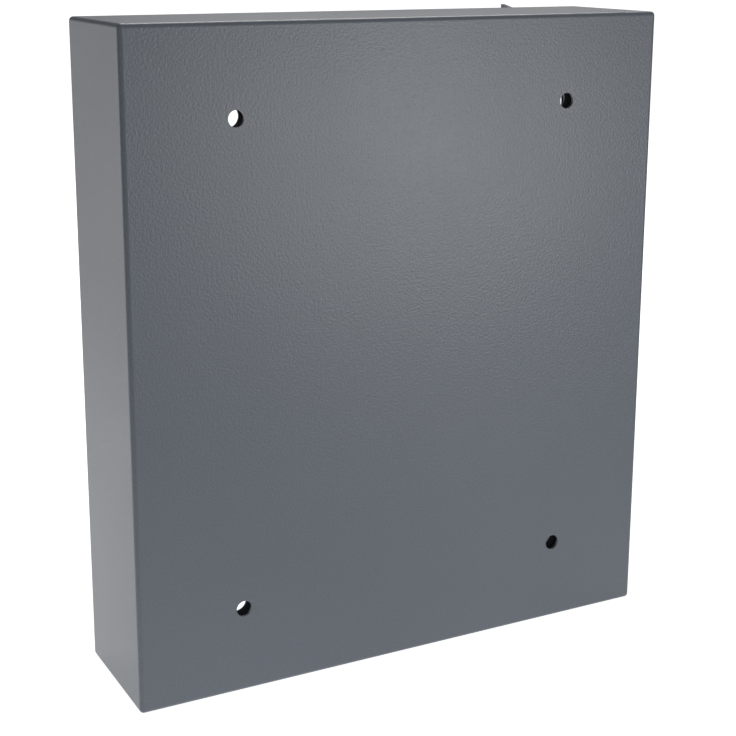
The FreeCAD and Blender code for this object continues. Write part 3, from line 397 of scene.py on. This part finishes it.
def pick_faces(piece, wanted):
    """Selects the faces of the active piece that pass a test, and leaves it in edit mode."""
    bpy.ops.object.mode_set(mode="EDIT")
    bpy.ops.mesh.select_all(action="DESELECT")
    bpy.ops.object.mode_set(mode="OBJECT")
    for face in piece.data.polygons:
        face.select = wanted(face)
    bpy.ops.object.mode_set(mode="EDIT")


def round_edges(piece, width, segments, **settings):
    """Bevels the edges of the active piece."""
    bevel = piece.modifiers.new("rounding", "BEVEL")
    bevel.width, bevel.segments = width, segments
    for name, value in settings.items():
        setattr(bevel, name, value)
    bpy.ops.object.modifier_apply(modifier="rounding")


def is_side(face):
    return abs(face.normal.z) < 0.1


# ---- knuckle welds ----
# A bead of weld down both sides of each hinge block, coated over with the rest of the leaf.
low, high = shut_box("hinge_knuckles")
leaf_back = shut_box("door_plate")[1].y
BEAD_LENGTH, BEAD_R, BEAD_INSET = 0.02, 0.0013, 0.0025
RIPPLE, RIPPLE_PITCH = 0.12, 0.0011
TAPER_LENGTH, TIP_SHARE = 0.0015, 0.35
beads = []
for x in (low.x, high.x):
    for top in (high.z - BEAD_INSET, low.z + BEAD_INSET + BEAD_LENGTH):
        bpy.ops.mesh.primitive_cylinder_add(vertices=16, radius=BEAD_R, depth=BEAD_LENGTH)
        bead = bpy.context.object
        pick_faces(bead, is_side)
        for _ in range(4):
            bpy.ops.mesh.subdivide(number_cuts=1, smoothness=0)
        bpy.ops.object.mode_set(mode="OBJECT")
        for vertex in bead.data.vertices:
            ripple = 1 + RIPPLE * math.sin(vertex.co.z / RIPPLE_PITCH)
            from_tip = BEAD_LENGTH / 2 - abs(vertex.co.z)
            taper = min(1, from_tip / TAPER_LENGTH + TIP_SHARE)
            vertex.co.x *= ripple * taper
            vertex.co.y *= ripple * taper
        bead.location = (x, leaf_back, top - BEAD_LENGTH / 2)
        beads.append(bead)
for bead in beads:
    bead.select_set(True)
bpy.ops.object.join()
welds = bpy.context.object
bpy.ops.object.shade_smooth()
welds.data.materials.append(coated)
fit_on_door(welds, "knuckle_welds", "door", "coated_steel")

# ---- knob ----
# A turned zinc knob in satin chrome: a knurled rim, a dished face, a crowned bar grip across it and
# a white line at the top of the grip. The spindle goes through the leaf.
satin = bare_metal(
    "satin_chrome", (0.5, 0.5, 0.51), (0.62, 0.62, 0.63), 0.3, (700, 700, 700), 0.12,
)
dress(satin, "knob_rosette", "lock_escutcheon", "key_cylinder", "keyhole_cover", "cover_rivet")
low, high = shut_box("knob")
middle = (low + high) / 2
KNOB_R = (high.x - low.x) / 2
RIM_DEPTH, GRIP_RISE, GRIP_WIDTH, GRIP_SUNK = 0.009, 0.015, 0.0136, 0.0012
FACETS, KNURL_INSET, KNURL_DEPTH = 120, 0.00018, 0.0006
# Rings on the knob's face, from its edge inwards: how wide each is and how far it rises.
FACE_RINGS = ((0.0016, 0.0008), (0.0022, -0.0012), (0.006, -0.0004))


def is_knurl(face):
    """Every other face round the rim."""
    turn = math.degrees(math.atan2(face.center.y, face.center.x)) * FACETS / 360
    return is_side(face) and int(math.floor(turn)) % 2 == 0


bpy.ops.mesh.primitive_cylinder_add(vertices=FACETS, radius=KNOB_R - 0.0007, depth=RIM_DEPTH)
rim = bpy.context.object
pick_faces(rim, lambda face: face.normal.z > 0.9)
for width, rise in FACE_RINGS:
    bpy.ops.mesh.inset(thickness=width)
    bpy.ops.transform.translate(value=(0, 0, rise))
pick_faces(rim, is_knurl)
bpy.ops.mesh.inset(thickness=KNURL_INSET, use_individual=True)
bpy.ops.mesh.extrude_faces_move(TRANSFORM_OT_shrink_fatten={"value": -KNURL_DEPTH})
bpy.ops.object.mode_set(mode="OBJECT")

grip_z = RIM_DEPTH / 2 + GRIP_RISE / 2 - GRIP_SUNK
bpy.ops.mesh.primitive_cube_add(size=1, location=(0, 0, grip_z))
grip = bpy.context.object
grip.data.transform(Matrix.Diagonal((GRIP_WIDTH, KNOB_R * 2 - 0.0034, GRIP_RISE + 0.0024, 1)))
bpy.ops.object.mode_set(mode="EDIT")
bpy.ops.mesh.subdivide(number_cuts=6)
bpy.ops.object.mode_set(mode="OBJECT")
for vertex in grip.data.vertices:
    reach = abs(vertex.co.y) / KNOB_R
    rise = vertex.co.z / GRIP_RISE + 0.5
    vertex.co.x *= 1 - 0.28 * rise * (1 - 0.4 * reach)
    vertex.co.y *= 1 - 0.1 * rise
    vertex.co.z -= 0.0016 * reach * reach * max(rise, 0)
round_edges(grip, 0.0016, 4, limit_method="ANGLE", angle_limit=math.radians(40))

SPINDLE_R, SPINDLE_LENGTH = 0.005, 0.014
bpy.ops.mesh.primitive_cylinder_add(vertices=48, radius=SPINDLE_R, depth=SPINDLE_LENGTH)
spindle = bpy.context.object
spindle.location.z = -RIM_DEPTH / 2 - 0.0066
round_edges(spindle, 0.0004, 2)
for part in (rim, grip, spindle):
    part.data.materials.append(satin)

POINTER_SIZE = (0.0012, 0.008, 0.0004)
bpy.ops.mesh.primitive_cube_add(size=1)
pointer = bpy.context.object
pointer.data.transform(Matrix.Diagonal((*POINTER_SIZE, 1)))
pointer.location = (0, KNOB_R * 0.62, RIM_DEPTH / 2 + GRIP_RISE - 0.0009)
pointer.rotation_euler.x = math.radians(-6)
round_edges(pointer, 0.00015, 2)
white_ink = moulded("white_ink", (0.75, 0.75, 0.73), 0.5, 2200.0, 0.1)
pointer.data.materials.append(white_ink)

for part in (pointer, spindle, grip, rim):
    part.select_set(True)
bpy.context.view_layer.objects.active = rim
bpy.ops.object.join()
knob = bpy.context.object
bpy.ops.object.shade_smooth_by_angle(angle=math.radians(35))
knob.rotation_euler = (math.radians(90), 0, 0)
knob.location = (middle.x, low.y + GRIP_RISE + RIM_DEPTH / 2, middle.z)
fit_on_door(knob, "turning_knob", "knob", "satin_chrome", "knob")

# ---- key lock ----
# A brass plug in a chromed cylinder, under a swinging drop.
brass = bare_metal(
    "machined_brass", (0.5, 0.36, 0.13), (0.68, 0.52, 0.24), 0.28, (1200, 1200, 1200),
)
dress(brass, "key_plug")

# ---- keypad ----
# A moulded case, rubber keys with printed figures, three lamps, and the board behind them.
black_plastic = moulded("black_plastic", (0.022, 0.022, 0.024), 0.42)
dress(black_plastic, "keypad_housing", "battery_lid", "battery_tray", "reset_switch")
key_rubber = moulded("key_rubber", (0.075, 0.078, 0.084), 0.6, 1800.0, 0.25)
rubber = moulded("black_rubber", (0.018, 0.018, 0.018), 0.65)
dress(rubber, "keypad_cable", "button_membrane")
FIGURE_SIZE, FIGURE_RISE, FIGURE_EDGE, FIGURE_PROUD = 0.0115, 0.00012, 0.00003, 0.00005
signs = {"star": "*", "hash": "#"}
for name in [str(i) for i in range(10)] + list(signs):
    node = "button_" + name
    dress(key_rubber, node)
    low, high = shut_box(node)
    bpy.ops.object.text_add()
    figure = bpy.context.object
    figure.data.body = signs.get(name, name)
    figure.data.size = FIGURE_SIZE
    figure.data.extrude = FIGURE_RISE
    figure.data.bevel_depth = FIGURE_EDGE
    bpy.ops.object.convert(target="MESH")
    figure = bpy.context.object
    corners = [v.co.copy() for v in figure.data.vertices]
    centre = [(min(c[i] for c in corners) + max(c[i] for c in corners)) / 2 for i in range(2)]
    figure.data.transform(Matrix.Translation((-centre[0], -centre[1], 0)))
    figure.rotation_euler = (math.radians(90), 0, 0)
    figure.location = ((low.x + high.x) / 2, low.y - FIGURE_PROUD, (low.z + high.z) / 2)
    figure.data.materials.append(white_ink)
    fit_on_door(figure, "figure_" + name, node, "key_rubber")

solder_mask, tree, shader = start_finish("solder_mask", {"Coat Weight": 0.5, "Coat Roughness": 0.15})
spot = object_place(tree)
tracks = add(tree, "TexBrick", {"Vector": spot, "Scale": 160.0, "Mortar Size": 0.08,
                                "Color1": (0.012, 0.11, 0.045, 1), "Color2": (0.015, 0.13, 0.055, 1),
                                "Mortar": (0.03, 0.22, 0.09, 1)})
dust = add(tree, "TexNoise", {"Vector": spot, "Scale": 300.0, "Detail": 3.0})
tree.links.new(tracks.outputs["Color"], shader.inputs["Base Color"])
tree.links.new(scaled(tree, dust.outputs["Fac"], 0.2, 0.25), shader.inputs["Roughness"])
dress(solder_mask, "keypad_board", "control_board")

# The three lamps are told apart by how far along the row a point lies, from 0 to 1.
lamp_lens, tree, shader = start_finish(
    "lamp_lens", {"Roughness": 0.12, "Transmission Weight": 0.25},
)
low, high = shut_box("led_lenses")
across_door = swing.to_3x3() @ Vector((1, 0, 0))
reach = add(tree, "VectorMath", {0: object_place(tree), 1: tuple(across_door)},
            operation="DOT_PRODUCT")
start, row = across_door.dot(swing @ low), high.x - low.x
share = scaled(tree, reach.outputs["Value"], 1 / row, -start / row)
middle_on = add(tree, "Math", {0: share, 1: 0.3}, operation="GREATER_THAN")
last_on = add(tree, "Math", {0: share, 1: 0.7}, operation="GREATER_THAN")
tint = mixed(tree, middle_on.outputs[0], (0.02, 0.3, 0.05), (0.6, 0.33, 0.02))
tint = mixed(tree, last_on.outputs[0], tint, (0.45, 0.02, 0.015))
tree.links.new(tint, shader.inputs["Base Color"])
dress(lamp_lens, "led_lenses")

# ---- solenoid ----
# A wound coil in a bent bracket. The plunger's return spring is drawn wire, wound in seven turns.
winding, tree, shader = start_finish("enamelled_winding", {"Metallic": 0.6, "Roughness": 0.3})
turns = add(tree, "TexWave", {"Vector": object_place(tree), "Scale": 900.0, "Distortion": 0.3},
            bands_direction="Z")
# Painted shade: the turns are darker in the grooves between them, where the bump is low.
tint = mixed(tree, turns.outputs["Fac"], (0.2, 0.06, 0.015), (0.6, 0.25, 0.08))
groove = add(tree, "Bump", {"Height": turns.outputs["Fac"], "Strength": 0.5, "Distance": 0.0003})
tree.links.new(tint, shader.inputs["Base Color"])
tree.links.new(groove.outputs["Normal"], shader.inputs["Normal"])
dress(winding, "solenoid_coil")

STEPS_PER_TURN = 20


def coil_spring(name, radius, wire, height, turns, finish):
    """A spring of round wire standing on the origin along +Z, as a mesh."""
    curve = bpy.data.curves.new(name, "CURVE")
    curve.dimensions = "3D"
    curve.bevel_depth, curve.bevel_resolution = wire / 2, 3
    steps = turns * STEPS_PER_TURN
    path = curve.splines.new("POLY")
    path.points.add(steps)
    for i, point in enumerate(path.points):
        angle = 2 * math.pi * i / STEPS_PER_TURN
        point.co = (radius * math.cos(angle), radius * math.sin(angle),
                    wire / 2 + (height - wire) * i / steps, 1)
    curve.use_fill_caps = True
    spring = bpy.data.objects.new(name, curve)
    bpy.context.collection.objects.link(spring)
    bpy.ops.object.select_all(action="DESELECT")
    spring.select_set(True)
    bpy.context.view_layer.objects.active = spring
    bpy.ops.object.convert(target="MESH")
    spring = bpy.context.object
    bpy.ops.object.shade_smooth_by_angle(angle=math.radians(40))
    spring.data.materials.append(finish)
    return spring


low, high = shut_box("solenoid_spring")
spring = coil_spring("return_spring", 0.0039, 0.0007, high.z - low.z, 7, bright)
spring.location = ((low.x + high.x) / 2, (low.y + high.y) / 2, low.z)
fit_on_door(spring, "return_spring", "plunger", "bright_steel", "solenoid_spring")

# ---- lock cover and batteries ----
# The folded cover over the lock work, its battery lid, and four cells in plain sleeves.
dress(coated, "lock_cover")
red_plastic = moulded("red_plastic", (0.42, 0.02, 0.015), 0.3)
dress(red_plastic, "reset_button")
sleeve, tree, shader = start_finish("cell_sleeve", {"Coat Weight": 0.3, "Coat Roughness": 0.2})
low, high = shut_box("batteries")
BLACK_LENGTH = 0.036                        # of each sleeve, below its copper-coloured end
spot = add(tree, "SeparateXYZ", {"Vector": object_place(tree)})
cut_line = add(tree, "Math", {0: spot.outputs["Z"], 1: low.z + BLACK_LENGTH},
               operation="GREATER_THAN")
wear = add(tree, "TexNoise", {"Vector": object_place(tree), "Scale": 200.0, "Detail": 4.0})
tint = mixed(tree, cut_line.outputs[0], (0.02, 0.02, 0.024), (0.42, 0.2, 0.06))
tree.links.new(tint, shader.inputs["Base Color"])
tree.links.new(scaled(tree, wear.outputs["Fac"], 0.15, 0.25), shader.inputs["Roughness"])
dress(sleeve, "batteries")

# ---- battery contacts ----
# A sprung contact at one end of each cell, at the foot and at the top turn and turn about.
low, high = shut_box("batteries")
tray_low, tray_high = shut_box("battery_tray")
cell_r = (high.y - low.y) / 2
CELLS, TRAY_WALL = 4, 0.0015
CONTACT_R, CONTACT_WIRE, CONTACT_GAP = 0.0034, 0.0006, 0.00005
pitch = (high.x - low.x - 2 * cell_r) / (CELLS - 1)
for i in range(CELLS):
    at_foot = i % 2 == 0
    start = tray_low.z + TRAY_WALL if at_foot else high.z
    end = low.z if at_foot else tray_high.z - TRAY_WALL
    height = abs(end - start) - 2 * CONTACT_GAP
    contact = coil_spring("contact", CONTACT_R, CONTACT_WIRE, height, 4, bright)
    contact.location = (low.x + cell_r + i * pitch, (low.y + high.y) / 2, start + CONTACT_GAP)
    fit_on_door(contact, f"contact_spring_{i + 1}", "door", "bright_steel")

# ---- lid arrow ----
# A raised arrow moulded in the battery lid, which shows the way it slides.
low, high = shut_box("battery_lid")
ARROW_R, ARROW_RISE = 0.006, 0.0006
bpy.ops.mesh.primitive_cylinder_add(vertices=3, radius=ARROW_R, depth=ARROW_RISE)
arrow = bpy.context.object
arrow.rotation_euler = (math.radians(90), math.radians(90), 0)
arrow.location = (high.x - 0.016, high.y - 0.0008, (low.z + high.z) / 2)
round_edges(arrow, 0.0002, 2)
arrow.data.materials.append(black_plastic)
fit_on_door(arrow, "lid_arrow", "battery_lid", "black_plastic")
